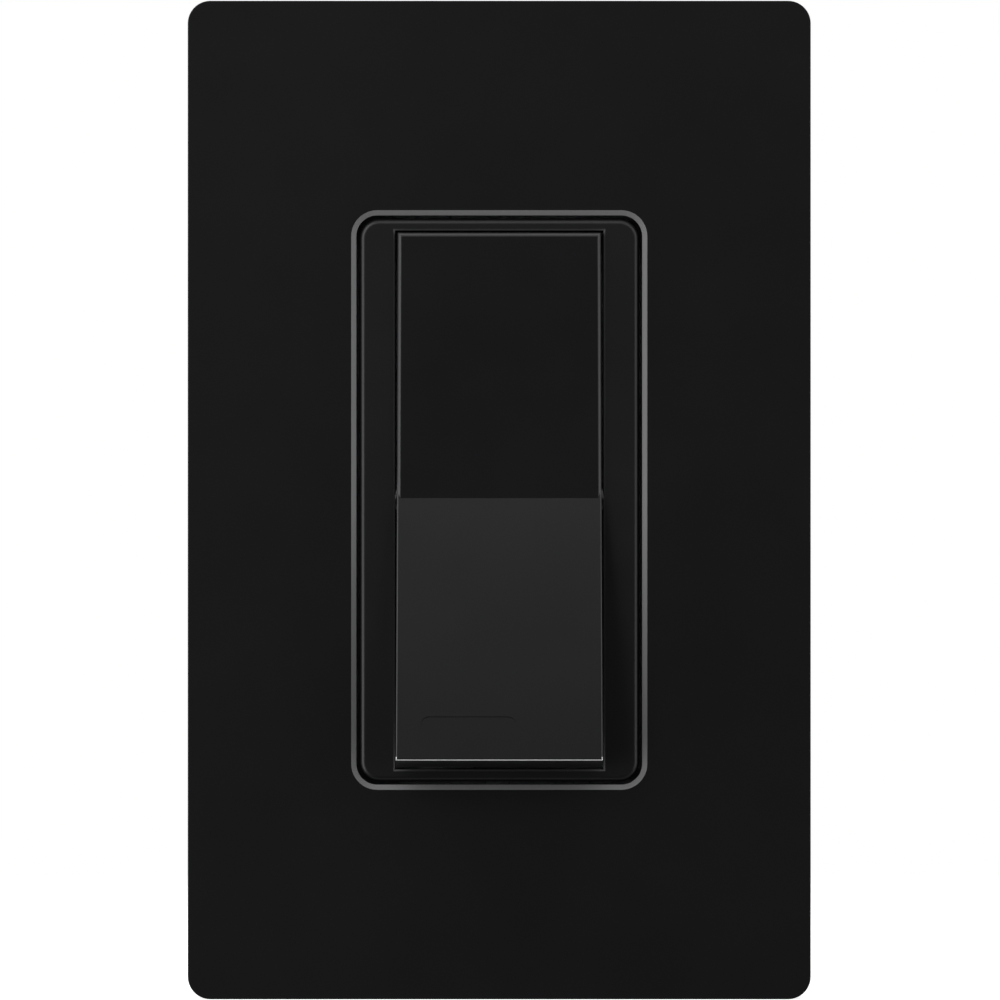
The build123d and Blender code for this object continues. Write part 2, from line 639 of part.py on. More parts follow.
with BuildPart() as load_terminal:
    terminal_plate_and_leg(TERMINAL_Z)
    with BuildSketch(at_depth(LEG_FRONT)):
        with Locations((0, TERMINAL_Z / 2)):
            Rectangle(LEG_WIDTH, TERMINAL_Z + 4 * RIDGE_RADIUS)
    extrude(amount=-BRASS)
    # the ridge that the arm rocks on
    with BuildSketch(Plane.YZ):
        with Locations((FULCRUM_Y, 0)):
            Circle(RIDGE_RADIUS)
        with Locations(((FULCRUM_Y + LEG_FRONT) / 2, 0)):
            Rectangle(LEG_FRONT - FULCRUM_Y, 2 * RIDGE_RADIUS)
    extrude(amount=ARM_WAIST / 2, both=True)
    # ears beside the arm's waist
    with BuildSketch(at_depth(LEG_BACK)):
        with GridLocations(EAR_PITCH, 0, 2, 1):
            Rectangle(EAR_SIZE, EAR_SIZE)
    extrude(amount=LEG_BACK - ARM_FRONT + BRASS)
    with BuildSketch(at_depth(LEG_BACK)):
        Rectangle(EAR_PITCH + EAR_SIZE, EAR_SIZE)
    extrude(amount=BRASS)

with BuildPart() as line_terminal:
    terminal_plate_and_leg(-TERMINAL_Z)
    with BuildSketch(at_depth(LEG_FRONT)):
        with Locations((0, -(TERMINAL_Z + CONTACT_Z - LEG_WIDTH / 2) / 2)):
            Rectangle(LEG_WIDTH, TERMINAL_Z - CONTACT_Z + LEG_WIDTH)
    extrude(amount=-BRASS)
    with BuildSketch(at_depth(LEG_FRONT)):
        with Locations((0, -CONTACT_Z)):
            Circle(CONTACT_TAIL)
    extrude(amount=-BRASS, mode=Mode.SUBTRACT)

# Where the arm's upper end rests when the switch is off
with BuildPart() as off_stop:
    with BuildSketch(at_depth(LEG_FRONT)):
        with Locations((0, OFF_STOP_Z)):
            Rectangle(*OFF_STOP_SIZE)
    extrude(amount=LEG_FRONT - OFF_STOP_FRONT)
    chamfer(nearest_face(off_stop).edges(), OFF_STOP_EDGE)

# Spring-steel clips that bite on a wire pushed in from behind
with BuildPart() as push_in_clips:
    for z in (-TERMINAL_Z, TERMINAL_Z):
        with BuildSketch(Plane.XY.offset(z - CLIP_WIDTH / 2)):
            with BuildLine() as clip_line:
                FilletPolyline(
                    (WIRE_X + CLIP_FOOT, CASE_FLOOR - CLIP_FOOT_GAP),
                    (WIRE_X + CLIP_FOOT, LEG_BACK + CLIP_TOP),
                    (WIRE_X + CLIP_SHOULDER, LEG_BACK + CLIP_TOP),
                    (WIRE_X + CLIP_BITE, LEG_BACK + CLIP_TOP + CLIP_RISE),
                    radius=CLIP_BEND,
                )
                offset(amount=CLIP_THICKNESS / 2, side=Side.BOTH)
            make_face()
        extrude(amount=CLIP_WIDTH)

# ---------------------------------------------------------------- case and cover

with BuildPart() as mechanism_cover:
    with BuildSketch(at_depth(STRAP_BACK)):
        RectangleRounded(CASE_WIDTH, CASE_HEIGHT, CASE_CORNER)
        Rectangle(*COVER_WINDOW, mode=Mode.SUBTRACT)
        with GridLocations(2 * ASSEMBLY_X, 2 * ASSEMBLY_Z, 2, 2):
            Circle(ASSEMBLY_RADIUS + SCREW_GAP, mode=Mode.SUBTRACT)
    extrude(amount=-COVER_THICKNESS)

cavity_half_width = CASE_WIDTH / 2 - CASE_WALL
pocket_length = LEG_FRONT - POCKET_FRONT

with BuildPart() as back_case:
    with BuildSketch(at_depth(CASE_FRONT)):
        RectangleRounded(CASE_WIDTH, CASE_HEIGHT, CASE_CORNER)
    extrude(amount=CASE_FRONT - CASE_BACK)
    chamfer(back_case.faces().sort_by(Axis.Y)[-1].edges(), CASE_EDGE)
    with BuildSketch(at_depth(CASE_FRONT)):
        Rectangle(CASE_WIDTH - 2 * CASE_WALL, CASE_HEIGHT - 2 * CASE_WALL)
        with GridLocations(2 * ASSEMBLY_X, 2 * ASSEMBLY_Z, 2, 2):
            Circle(BOSS_RADIUS, mode=Mode.SUBTRACT)
    extrude(amount=CASE_FRONT - CASE_FLOOR, mode=Mode.SUBTRACT)
    # a boxed pocket in the right wall for each terminal screw
    with BuildSketch(at_depth(LEG_FRONT)):
        with Locations(
            ((TERMINAL_PLATE_X - POCKET_WALL + cavity_half_width) / 2, TERMINAL_Z),
            ((TERMINAL_PLATE_X - POCKET_WALL + cavity_half_width) / 2, -TERMINAL_Z),
        ):
            Rectangle(
                cavity_half_width - TERMINAL_PLATE_X + POCKET_WALL,
                POCKET_HEIGHT + 2 * POCKET_WALL,
            )
    extrude(amount=pocket_length + POCKET_WALL)
    with BuildSketch(at_depth(LEG_FRONT)):
        with Locations(
            ((TERMINAL_PLATE_X + CASE_WIDTH) / 2, TERMINAL_Z),
            ((TERMINAL_PLATE_X + CASE_WIDTH) / 2, -TERMINAL_Z),
        ):
            Rectangle(CASE_WIDTH - TERMINAL_PLATE_X, POCKET_HEIGHT)
    extrude(amount=pocket_length, mode=Mode.SUBTRACT)
    with BuildSketch(Plane.YZ.offset(TERMINAL_PLATE_X)):
        with Locations((TERMINAL_SCREW_Y, TERMINAL_Z), (TERMINAL_SCREW_Y, -TERMINAL_Z)):
            Circle(TERMINAL_SCREW_RADIUS + 2 * SCREW_GAP)
    extrude(amount=-2 * POCKET_WALL, mode=Mode.SUBTRACT)
    # ribs on the floor that carry the brass legs
    with BuildSketch(at_depth(CASE_FLOOR)):
        with Locations((0, TERMINAL_Z), (0, MIDDLE_RIB_Z), (0, -TERMINAL_Z)):
            Rectangle(LEG_WIDTH + LEG_RIB, LEG_RIB)
    extrude(amount=CASE_FLOOR - LEG_BACK)
    # wire holes, slots that release the clips, a strip gauge and a plain panel on the back
    with Locations(facing_back(CASE_BACK)):
        with Locations((-WIRE_X, TERMINAL_Z), (-WIRE_X, -TERMINAL_Z)):
            CounterSinkHole(
                WIRE_RADIUS, WIRE_RADIUS + WIRE_FUNNEL, depth=2 * CASE_WALL, counter_sink_angle=90
            )
        with GridLocations(2 * ASSEMBLY_X, 2 * ASSEMBLY_Z, 2, 2):
            CounterBoreHole(
                ASSEMBLY_RADIUS + SCREW_GAP, ASSEMBLY_HEAD_RADIUS + HEAD_GAP, ASSEMBLY_HEAD_HEIGHT
            )
    with BuildSketch(at_depth(CASE_BACK)):
        with GridLocations(0, 2 * TERMINAL_Z, 1, 2):
            with Locations((WIRE_X + RELEASE_SLOT_FROM_WIRE, 0)):
                Rectangle(*RELEASE_SLOT)
    extrude(amount=CASE_WALL, mode=Mode.SUBTRACT)
    with BuildSketch(at_depth(CASE_BACK)):
        Rectangle(*BACK_LABEL)
        with Locations((0, -ASSEMBLY_Z)):
            SlotOverall(*STRIP_GAUGE)
    extrude(amount=BACK_LABEL_DEPTH, mode=Mode.SUBTRACT)

# ---------------------------------------------------------------- fasteners


def screw_side(x, y, z, direction):
    """The plane of a screw's half profile: its x runs from the top of the head along the screw."""
    along = Vector(*direction)
    across = Vector(0, 0, 1) if abs(along.Z) < 0.5 else Vector(1, 0, 0)
    return Plane(origin=(x, y, z), x_dir=along, z_dir=along.cross(across))


def pan_head(radius, height, neck_radius, neck_end, shank_radius, end):
    """Half profile of a pan-headed screw whose shank may have a thinner neck under the head."""
    return [
        (0, 0),
        (0, 0.7 * radius),
        (0.35 * height, radius),
        (height, radius),
        (height, neck_radius),
        (neck_end, neck_radius),
        (neck_end, shank_radius),
        (end - SCREW_POINT, shank_radius),
        (end, shank_radius - SCREW_POINT),
        (end, 0),
    ]


box_head_top = STRAP_FRONT - BOX_HEAD_HEIGHT
neck_end = STRAP_BACK + RETAINER_THICKNESS + SCREW_GAP - box_head_top

with BuildPart() as box_screws:
    for z in (BOX_SCREW_PITCH / 2, -BOX_SCREW_PITCH / 2):
        turned_screw(
            screw_side(0, box_head_top, z, (0, 1, 0)),
            pan_head(
                BOX_HEAD_RADIUS,
                BOX_HEAD_HEIGHT,
                BOX_SCREW_NECK,
                neck_end,
                BOX_SCREW_RADIUS,
                BOX_SCREW_END - box_head_top,
            ),
            BOX_HEAD_RADIUS,
        )

# Fibre washers behind the strap that keep the box screws from falling out
with BuildPart() as screw_retainers:
    with BuildSketch(at_depth(STRAP_BACK)):
        with GridLocations(0, BOX_SCREW_PITCH, 1, 2):
            RectangleRounded(RETAINER_SIZE, RETAINER_SIZE, RETAINER_CORNER)
            Circle(BOX_SCREW_NECK + SEAT_GAP, mode=Mode.SUBTRACT)
    extrude(amount=-RETAINER_THICKNESS)

with BuildPart() as adapter_screws:
    for z in (PLATE_SCREW_PITCH / 2, -PLATE_SCREW_PITCH / 2):
        plate_cone = (PLATE_HEAD_RADIUS - PLATE_SCREW_RADIUS) / tan(radians(PLATE_HEAD_ANGLE / 2))
        plate_length = PLATE_SCREW_END - ADAPTER_FRONT
        turned_screw(
            screw_side(0, ADAPTER_FRONT, z, (0, 1, 0)),
            [
                (0, 0),
                (0, PLATE_HEAD_RADIUS),
                (plate_cone, PLATE_SCREW_RADIUS),
                (plate_length - SCREW_POINT, PLATE_SCREW_RADIUS),
                (plate_length, PLATE_SCREW_RADIUS - SCREW_POINT),
                (plate_length, 0),
            ],
            PLATE_HEAD_RADIUS,
        )

with BuildPart() as assembly_screws:
    for x in (-ASSEMBLY_X, ASSEMBLY_X):
        for z in (-ASSEMBLY_Z, ASSEMBLY_Z):
            turned_screw(
                screw_side(x, CASE_BACK, z, (0, -1, 0)),
                pan_head(
                    ASSEMBLY_HEAD_RADIUS,
                    ASSEMBLY_HEAD_HEIGHT,
                    ASSEMBLY_RADIUS,
                    2 * ASSEMBLY_HEAD_HEIGHT,
                    ASSEMBLY_RADIUS,
                    CASE_BACK - ASSEMBLY_TIP,
                ),
                ASSEMBLY_HEAD_RADIUS,
            )

terminal_head_top = TERMINAL_PLATE_X + BRASS + TERMINAL_HEAD_HEIGHT

with BuildPart() as terminal_screws:
    for z in (-TERMINAL_Z, TERMINAL_Z):
        turned_screw(
            screw_side(terminal_head_top, TERMINAL_SCREW_Y, z, (-1, 0, 0)),
            pan_head(
                TERMINAL_HEAD_RADIUS,
                TERMINAL_HEAD_HEIGHT,
                TERMINAL_SCREW_RADIUS,
                2 * TERMINAL_HEAD_HEIGHT,
                TERMINAL_SCREW_RADIUS,
                terminal_head_top - TERMINAL_SCREW_END,
            ),
            TERMINAL_HEAD_RADIUS,
        )

ground_head_top = GROUND_LUG_X - STRAP_THICKNESS - GROUND_HEAD_HEIGHT

with BuildPart() as ground_screw:
    with BuildSketch(Plane.YZ.offset(ground_head_top)):
        with Locations((GROUND_SCREW_Y, GROUND_SCREW_Z)):
            RegularPolygon(GROUND_HEAD_RADIUS, 6)
    extrude(amount=GROUND_HEAD_HEIGHT)
    with BuildSketch(Plane.YZ.offset(ground_head_top + GROUND_HEAD_HEIGHT)):
        with Locations((GROUND_SCREW_Y, GROUND_SCREW_Z)):
            Circle(BOX_SCREW_RADIUS)
    extrude(amount=GROUND_SCREW_LENGTH)
    with BuildSketch(Plane.YZ.offset(ground_head_top)):
        with Locations((GROUND_SCREW_Y, GROUND_SCREW_Z)):
            Rectangle(2 * GROUND_HEAD_RADIUS, SLOT_WIDTH)
    extrude(amount=SLOT_DEPTH, mode=Mode.SUBTRACT)

# ---------------------------------------------------------------- export

pieces = {
    "faceplate": faceplate,
    "adapter_plate": adapter_plate,
    "adapter_screws": adapter_screws,
    "strap": strap,
    "bumpers": bumpers,
    "bezel": bezel,
    "rocker": rocker,
    "pivot_pin": pivot_pin,
    "plunger": plunger,
    "plunger_spring": plunger_spring,
    "contact_arm": contact_arm,
    "moving_contact": moving_contact,
    "fixed_contact": fixed_contact,
    "load_terminal": load_terminal,
    "line_terminal": line_terminal,
    "terminal_screws": terminal_screws,
    "push_in_clips": push_in_clips,
    "off_stop": off_stop,
    "mechanism_cover": mechanism_cover,
    "back_case": back_case,
    "assembly_screws": assembly_screws,
    "box_screws": box_screws,
    "screw_retainers": screw_retainers,
    "ground_screw": ground_screw,
}

os.makedirs("parts", exist_ok=True)
for name, piece in pieces.items():
    piece.part.label = name
    export_step(piece.part, f"parts/{name}.step")
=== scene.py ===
"""Looks for the rocker wall switch: its materials, its finer meshes, a light tent and the camera."""

import math

import bmesh
import bpy
from mathutils import Matrix, Vector


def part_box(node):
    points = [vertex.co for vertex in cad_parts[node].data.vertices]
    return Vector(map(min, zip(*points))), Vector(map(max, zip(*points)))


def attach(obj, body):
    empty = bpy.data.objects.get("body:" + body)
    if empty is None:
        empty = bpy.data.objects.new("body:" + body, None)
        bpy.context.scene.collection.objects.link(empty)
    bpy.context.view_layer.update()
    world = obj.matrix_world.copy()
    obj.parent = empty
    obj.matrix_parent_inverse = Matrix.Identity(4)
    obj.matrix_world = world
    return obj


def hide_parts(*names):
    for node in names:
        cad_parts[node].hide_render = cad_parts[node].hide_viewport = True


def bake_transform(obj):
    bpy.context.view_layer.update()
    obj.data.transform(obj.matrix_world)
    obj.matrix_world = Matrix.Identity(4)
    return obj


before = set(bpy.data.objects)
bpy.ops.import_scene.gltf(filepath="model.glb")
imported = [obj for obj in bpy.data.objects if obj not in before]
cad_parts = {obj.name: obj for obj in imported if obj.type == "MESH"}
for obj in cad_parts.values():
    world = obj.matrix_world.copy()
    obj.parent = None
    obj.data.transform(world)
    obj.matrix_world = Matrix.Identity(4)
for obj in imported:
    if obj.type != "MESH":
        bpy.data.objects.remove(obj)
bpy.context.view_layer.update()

MM = 0.001

# ---------------------------------------------------------------- materials

# Shares of a normal that point to the front, between which a painted highlight on edges fades into a
# face or a side
FACE_FADE = (0.88, 0.95)
SIDE_FADE = (0.3, 0.45)

# Where noise is stretched to its full range: its values crowd round 0.5
NOISE_LOW, NOISE_HIGH = 0.3, 0.7


class Finish:
    """A node material in the making: a Principled shader and short helpers for its texture nodes."""

    def __init__(self, name, **values):
        self.material = bpy.data.materials.new(name)
        self.material.use_nodes = True
        self.tree = self.material.node_tree
        self.shader = self.tree.nodes["Principled BSDF"]
        coordinates = self.tree.nodes.new("ShaderNodeTexCoord")
        self.place = coordinates.outputs["Object"]
        self.facing = coordinates.outputs["Normal"]
        for socket, value in values.items():
            self.shader.inputs[socket.replace("_", " ")].default_value = value

    def stretched(self, x, y, z):
        """Object coordinates scaled by a factor along each axis."""
        mapping = self.tree.nodes.new("ShaderNodeMapping")
        mapping.inputs["Scale"].default_value = (x, y, z)
        self.tree.links.new(self.place, mapping.inputs["Vector"])
        return mapping.outputs["Vector"]

    def noise(self, grain, detail=4.0, rough=0.6, vector=None):
        """Cloudy noise whose features are about grain metres across."""
        node = self.tree.nodes.new("ShaderNodeTexNoise")
        node.inputs["Scale"].default_value = 1.0 / grain
        node.inputs["Detail"].default_value = detail
        node.inputs["Roughness"].default_value = rough
        self.tree.links.new(vector or self.place, node.inputs["Vector"])
        return node.outputs["Fac"]

    def cells(self, grain):
        """A different random value for each cell, about grain metres across."""
        node = self.tree.nodes.new("ShaderNodeTexVoronoi")
        node.inputs["Scale"].default_value = 1.0 / grain
        self.tree.links.new(self.place, node.inputs["Vector"])
        return self.component(node.outputs["Color"], "X")

    def ramp(self, fac, low, high, start=0.0, end=1.0):
        """Map a signal between start and end to a range of values."""
        node = self.tree.nodes.new("ShaderNodeMapRange")
        node.inputs["From Min"].default_value = start
        node.inputs["From Max"].default_value = end
        node.inputs["To Min"].default_value = low
        node.inputs["To Max"].default_value = high
        self.tree.links.new(fac, node.inputs["Value"])
        return node.outputs["Result"]

    def blend(self, fac, low, high, start=NOISE_LOW, end=NOISE_HIGH):
        """Blend two colours by a signal."""
        node = self.tree.nodes.new("ShaderNodeValToRGB")
        node.color_ramp.elements[0].position = start
        node.color_ramp.elements[0].color = (*low, 1)
        node.color_ramp.elements[1].position = end
        node.color_ramp.elements[1].color = (*high, 1)
        self.tree.links.new(fac, node.inputs["Fac"])
        return node.outputs["Color"]

    def over(self, mask, below, above):
        """Lay a plain colour over a colour signal where the mask is 1."""
        node = self.tree.nodes.new("ShaderNodeMix")
        node.data_type = "RGBA"
        # the node has a set of sockets for each data type: these are the colour ones
        factor, under, plain = node.inputs[0], node.inputs[6], node.inputs[7]
        plain.default_value = (*above, 1)
        self.tree.links.new(mask, factor)
        self.tree.links.new(below, under)
        return node.outputs[2]

    def combine(self, operation, first, second=None):
        """Combine two signals, or a signal and a number."""
        node = self.tree.nodes.new("ShaderNodeMath")
        node.operation = operation
        self.tree.links.new(first, node.inputs[0])
        if isinstance(second, (int, float)):
            node.inputs[1].default_value = second
        elif second is not None:
            self.tree.links.new(second, node.inputs[1])
        return node.outputs[0]

    def component(self, vector, axis):
        """One component of a vector."""
        split = self.tree.nodes.new("ShaderNodeSeparateXYZ")
        self.tree.links.new(vector, split.inputs["Vector"])
        return split.outputs[axis]

    def size_of(self, vector, axis):
        """One component of a vector, without its sign."""
        return self.combine("ABSOLUTE", self.component(vector, axis))

    def edge_highlight_mask(self, reach):
        """Where the painted highlight on edges goes: 1 on edges tilted between the front faces and the
        sides, within reach of the middle.
        """
        front = self.size_of(self.facing, "Y")
        off_the_face = self.ramp(front, 1, 0, *FACE_FADE)
        off_the_side = self.ramp(front, 0, 1, *SIDE_FADE)
        tilted = self.combine("MULTIPLY", off_the_face, off_the_side)
        for axis, limit in zip("XZ", reach):
            near = self.combine("LESS_THAN", self.size_of(self.place, axis), limit)
            tilted = self.combine("MULTIPLY", tilted, near)
        return tilted

    def around(self, signal, middle, spread):
        """Map noise to the values within spread of a middle one."""
        return self.ramp(signal, middle - spread, middle + spread, NOISE_LOW, NOISE_HIGH)

    def bump(self, height, depth):
        """Add relief of the given depth in metres."""
        node = self.tree.nodes.new("ShaderNodeBump")
        node.inputs["Distance"].default_value = depth
        node.inputs["Strength"].default_value = 1.0
        self.tree.links.new(height, node.inputs["Height"])
        self.tree.links.new(node.outputs["Normal"], self.shader.inputs["Normal"])

    def link(self, output, socket):
        """Feed a signal to one of the shader's sockets."""
        self.tree.links.new(output, self.shader.inputs[socket])


def scaled(tone, factor):
    """A tone made lighter or darker."""
    return [factor * channel for channel in tone]


def moulded_plastic(
    name, tone, roughness, grain, relief, gloss=0.5, edge=None, reach=(1, 1), lip_highlight=None
):
    """Black moulded plastic: a spark-eroded grain, uneven gloss and, if asked, a painted highlight on
    its edges.

    Edges within reach of the middle can take a painted highlight in a paler tone, and those lower than
    a given height a brighter painted highlight.
    """
    finish = Finish(name, IOR=1.5, Specular_IOR_Level=gloss)
    clouds = finish.noise(14 * MM, detail=3)
    colour = finish.blend(clouds, scaled(tone, 0.95), scaled(tone, 1.05))
    # Painted highlight: a pale tone laid over the tilted edges
    if edge:
        mask = finish.edge_highlight_mask(reach)
        colour = finish.over(mask, colour, edge)
        # Painted highlight: edges below a height get a nearly white tone
        if lip_highlight:
            lip_highlight_tone, lip_highlight_height = lip_highlight
            below_lip_highlight = finish.combine("LESS_THAN", finish.component(finish.place, "Z"), lip_highlight_height)
            colour = finish.over(finish.combine("MULTIPLY", mask, below_lip_highlight), colour, lip_highlight_tone)
    finish.link(colour, "Base Color")
    finish.link(finish.around(clouds, roughness, 0.01), "Roughness")
    finish.bump(finish.noise(grain, detail=2), relief)
    return finish.material


def thermoset(name, tone, roughness):
    """Matte black thermoset: pale filler specks, flow clouds and a coarse grain."""
    finish = Finish(name, IOR=1.52)
    specks = finish.noise(0.35 * MM, detail=2)
    finish.link(finish.blend(specks, tone, scaled(tone, 2.6), 0.55, 0.8), "Base Color")
    finish.link(finish.around(finish.noise(5 * MM), roughness, 0.07), "Roughness")
    finish.bump(finish.noise(0.5 * MM, detail=3), 0.02 * MM)
    return finish.material


def rolled_metal(name, tone, tarnish, roughness, stretch, clouds=4 * MM):
    """Bare sheet or wire: fine drawing lines and cloudy tarnish."""
    finish = Finish(name, Metallic=1.0)
    stain = finish.noise(clouds, detail=5)
    finish.link(finish.blend(stain, tone, tarnish, 0.35, 0.75), "Base Color")
    lines = finish.noise(0.18 * MM, detail=3, vector=finish.stretched(*stretch))
    dull = finish.ramp(stain, -0.05, 0.1, NOISE_LOW, NOISE_HIGH)
    uneven = finish.combine("ADD", dull, finish.around(lines, 0, 0.06))
    finish.link(finish.combine("ADD", uneven, roughness), "Roughness")
    finish.bump(lines, 0.006 * MM)
    return finish.material


def zinc_plate(name, tone, cool, roughness, stretch=(1, 1, 0.05)):
    """Bright zinc plate: faint crystal patches, bluish clouds, rolling lines and small dull specks."""
    finish = Finish(name, Metallic=1.0)
    crystals = finish.cells(1.6 * MM)
    clouds = finish.noise(7 * MM, detail=5)
    mixed = finish.combine("ADD", finish.ramp(crystals, 0, 0.3), finish.ramp(clouds, 0, 0.7, 0.2, 0.8))
    finish.link(finish.blend(mixed, tone, cool, 0.1, 0.9), "Base Color")
    lines = finish.noise(0.22 * MM, detail=3, vector=finish.stretched(*stretch))
    specks = finish.ramp(finish.noise(0.5 * MM, detail=2), 0, 0.1, 0.62, 0.75)
    uneven = finish.combine("ADD", finish.ramp(crystals, -0.04, 0.05), finish.around(lines, 0, 0.05))
    uneven = finish.combine("ADD", uneven, specks)
    finish.link(finish.combine("ADD", uneven, roughness), "Roughness")
    finish.bump(lines, 0.005 * MM)
    return finish.material


def coated_metal(name, tone, worn, roughness, metallic):
    """Painted or dyed plate: orange-peel relief and thinner colour in patches."""
    finish = Finish(name, Metallic=metallic)
    patches = finish.noise(1.2 * MM, detail=5)
    finish.link(finish.blend(patches, tone, worn, 0.5, 0.85), "Base Color")
    finish.link(finish.around(patches, roughness, 0.08), "Roughness")
    finish.bump(finish.noise(0.3 * MM, detail=2), 0.008 * MM)
    return finish.material


def soft_rubber(name, tone):
    """Dull black rubber with a fine grain and a bloom of paler dust."""
    finish = Finish(name, IOR=1.5)
    bloom = finish.noise(2.5 * MM, detail=6)
    finish.link(finish.blend(bloom, tone, scaled(tone, 1.8), 0.4, 0.8), "Base Color")
    finish.link(finish.around(bloom, 0.79, 0.09), "Roughness")
    finish.bump(finish.noise(0.25 * MM, detail=3), 0.012 * MM)
    return finish.material


def pressed_fibre(name, tone, pale, lie=(0.25, 1, 1)):
    """Vulcanised fibre: matted paper fibres in red-brown, darker where it was pressed harder."""
    finish = Finish(name, IOR=1.48)
    strands = finish.noise(0.5 * MM, detail=6, rough=0.7, vector=finish.stretched(*lie))
    finish.link(finish.blend(strands, tone, pale, 0.3, 0.75), "Base Color")
    finish.link(finish.around(finish.noise(3 * MM), 0.65, 0.1), "Roughness")
    finish.bump(strands, 0.03 * MM)
    return finish.material


def natural_nylon(name, tone, warm):
    """Off-white nylon with a waxy gloss and a warmer tint in places."""
    finish = Finish(name, IOR=1.53, Subsurface_Weight=0.15, Subsurface_Scale=0.001)
    clouds = finish.noise(1.5 * MM, detail=3)
    finish.link(finish.blend(clouds, tone, warm), "Base Color")
    finish.link(finish.ramp(clouds, 0.32, 0.45, NOISE_LOW, NOISE_HIGH), "Roughness")
    finish.bump(finish.noise(0.2 * MM, detail=2), 0.004 * MM)
    return finish.material


# Scales that stretch noise into lines along an axis or two
ALONG_X = (0.05, 1, 1)
ALONG_X_AND_Y = (0.2, 0.2, 1)
ALONG_Z = (1, 1, 0.06)
NO_LINES = (1, 1, 1)

# Only the edges of the plate's opening, and of the rocker's opening in the bezel, carry a painted
# highlight
COVER_HIGHLIGHT_REACH = (20 * MM, 38 * MM)
BEZEL_HIGHLIGHT_REACH = (13.5 * MM, 33 * MM)
# The rocker's lowest rim lies below this height and carries a painted highlight, a nearly white line
LIP_HIGHLIGHT_HEIGHT = -30.5 * MM

finishes = {}
for name, make, look in (
    ("cover_black", moulded_plastic, dict(
        tone=(0.0066, 0.0066, 0.0073),
        roughness=0.40,
        grain=0.22 * MM,
        relief=0.002 * MM,
        gloss=0.18,
        # painted highlight on the edges of the plate's opening
        edge=(0.19, 0.19, 0.192),
        reach=COVER_HIGHLIGHT_REACH,
    )),
    ("bezel_black", moulded_plastic, dict(
        tone=(0.0060, 0.0060, 0.0067),
        roughness=0.34,
        grain=0.3 * MM,
        relief=0.001 * MM,
        # painted highlight on the edges of the rocker's opening
        edge=(0.07, 0.07, 0.072),
        reach=BEZEL_HIGHLIGHT_REACH,
    )),
    ("rocker_black", moulded_plastic, dict(
        tone=(0.0062, 0.0062, 0.0069),
        roughness=0.29,
        grain=0.3 * MM,
        relief=0.001 * MM,
        # painted highlight on the rocker's edges
        edge=(0.04, 0.04, 0.042),
        # painted highlight: a nearly white line along the rocker's lowest edge
        lip_highlight=((0.95, 0.95, 0.952), LIP_HIGHLIGHT_HEIGHT),
    )),
    ("adapter_black", moulded_plastic, dict(
        tone=(0.002, 0.002, 0.0023),
        roughness=0.55,
        grain=0.35 * MM,
        relief=0.006 * MM,
        gloss=0.15,
    )),
    ("zinc_steel", zinc_plate, dict(tone=(0.62, 0.63, 0.62), cool=(0.55, 0.57, 0.61), roughness=0.34)),
    ("black_screw", coated_metal, dict(
        tone=(0.012, 0.012, 0.013),
        worn=(0.05, 0.05, 0.05),
        roughness=0.38,
        metallic=0.0,
    )),
    ("bumper_rubber", soft_rubber, dict(tone=(0.010, 0.010, 0.010))),
    ("pin_steel", rolled_metal, dict(
        tone=(0.16, 0.16, 0.17),
        tarnish=(0.10, 0.10, 0.11),
        roughness=0.35,
        stretch=ALONG_X,
    )),
    ("plunger_nylon", natural_nylon, dict(tone=(0.74, 0.71, 0.62), warm=(0.68, 0.62, 0.50))),
    ("spring_steel", rolled_metal, dict(
        tone=(0.45, 0.46, 0.48),
        tarnish=(0.34, 0.33, 0.32),
        roughness=0.28,
        stretch=ALONG_X_AND_Y,
    )),
    ("copper", rolled_metal, dict(
        tone=(0.80, 0.44, 0.30),
        tarnish=(0.52, 0.25, 0.16),
        roughness=0.30,
        stretch=ALONG_Z,
    )),
    ("silver", rolled_metal, dict(
        tone=(0.86, 0.86, 0.84),
        tarnish=(0.62, 0.60, 0.55),
        roughness=0.25,
        stretch=NO_LINES,
    )),
    ("brass", rolled_metal, dict(
        tone=(0.80, 0.60, 0.28),
        tarnish=(0.62, 0.43, 0.20),
        roughness=0.28,
        stretch=ALONG_Z,
        clouds=3 * MM,
    )),
    ("fibre", pressed_fibre, dict(tone=(0.22, 0.065, 0.045), pale=(0.38, 0.15, 0.11))),
    ("case_black", thermoset, dict(tone=(0.012, 0.012, 0.013), roughness=0.48)),
    ("ground_green", coated_metal, dict(
        tone=(0.02, 0.24, 0.07),
        worn=(0.10, 0.34, 0.12),
        roughness=0.34,
        metallic=0.75,
    )),
):
    finishes[name] = make(name, **look)

# Every CAD piece takes its slot's finish
slot_of = {}
for node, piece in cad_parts.items():
    material_slot = piece.material_slots[0]
    slot_of[node] = material_slot.material.name.split(".")[0]
    material_slot.material = finishes[slot_of[node]]

# ---------------------------------------------------------------- finer meshes

WELD = 1e-7
SHARP_ANGLE = 35


def add_piece(name, mesh, node, body="body"):
    """Stand a mesh in for a CAD node, with the node's finish.

    Without a body, the piece is attached to none.
    """
    mesh.materials.clear()
    mesh.materials.append(finishes[slot_of[node]])
    for polygon in mesh.polygons:
        polygon.material_index = 0
    piece = bpy.data.objects.new(name, mesh)
    bpy.context.scene.collection.objects.link(piece)
    if body:
        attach(piece, body)
    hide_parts(node)
    return piece


def finished_mesh(thing):
    """The mesh of an object with its modifiers applied; the object itself goes."""
    bpy.context.scene.collection.objects.link(thing)
    bpy.context.view_layer.update()
    graph = bpy.context.evaluated_depsgraph_get()
    mesh = bpy.data.meshes.new_from_object(thing.evaluated_get(graph))
    bpy.data.objects.remove(thing)
    return mesh


def smooth(mesh):
    """Shade every face of a mesh smooth."""
    mesh.polygons.foreach_set("use_smooth", [True] * len(mesh.polygons))


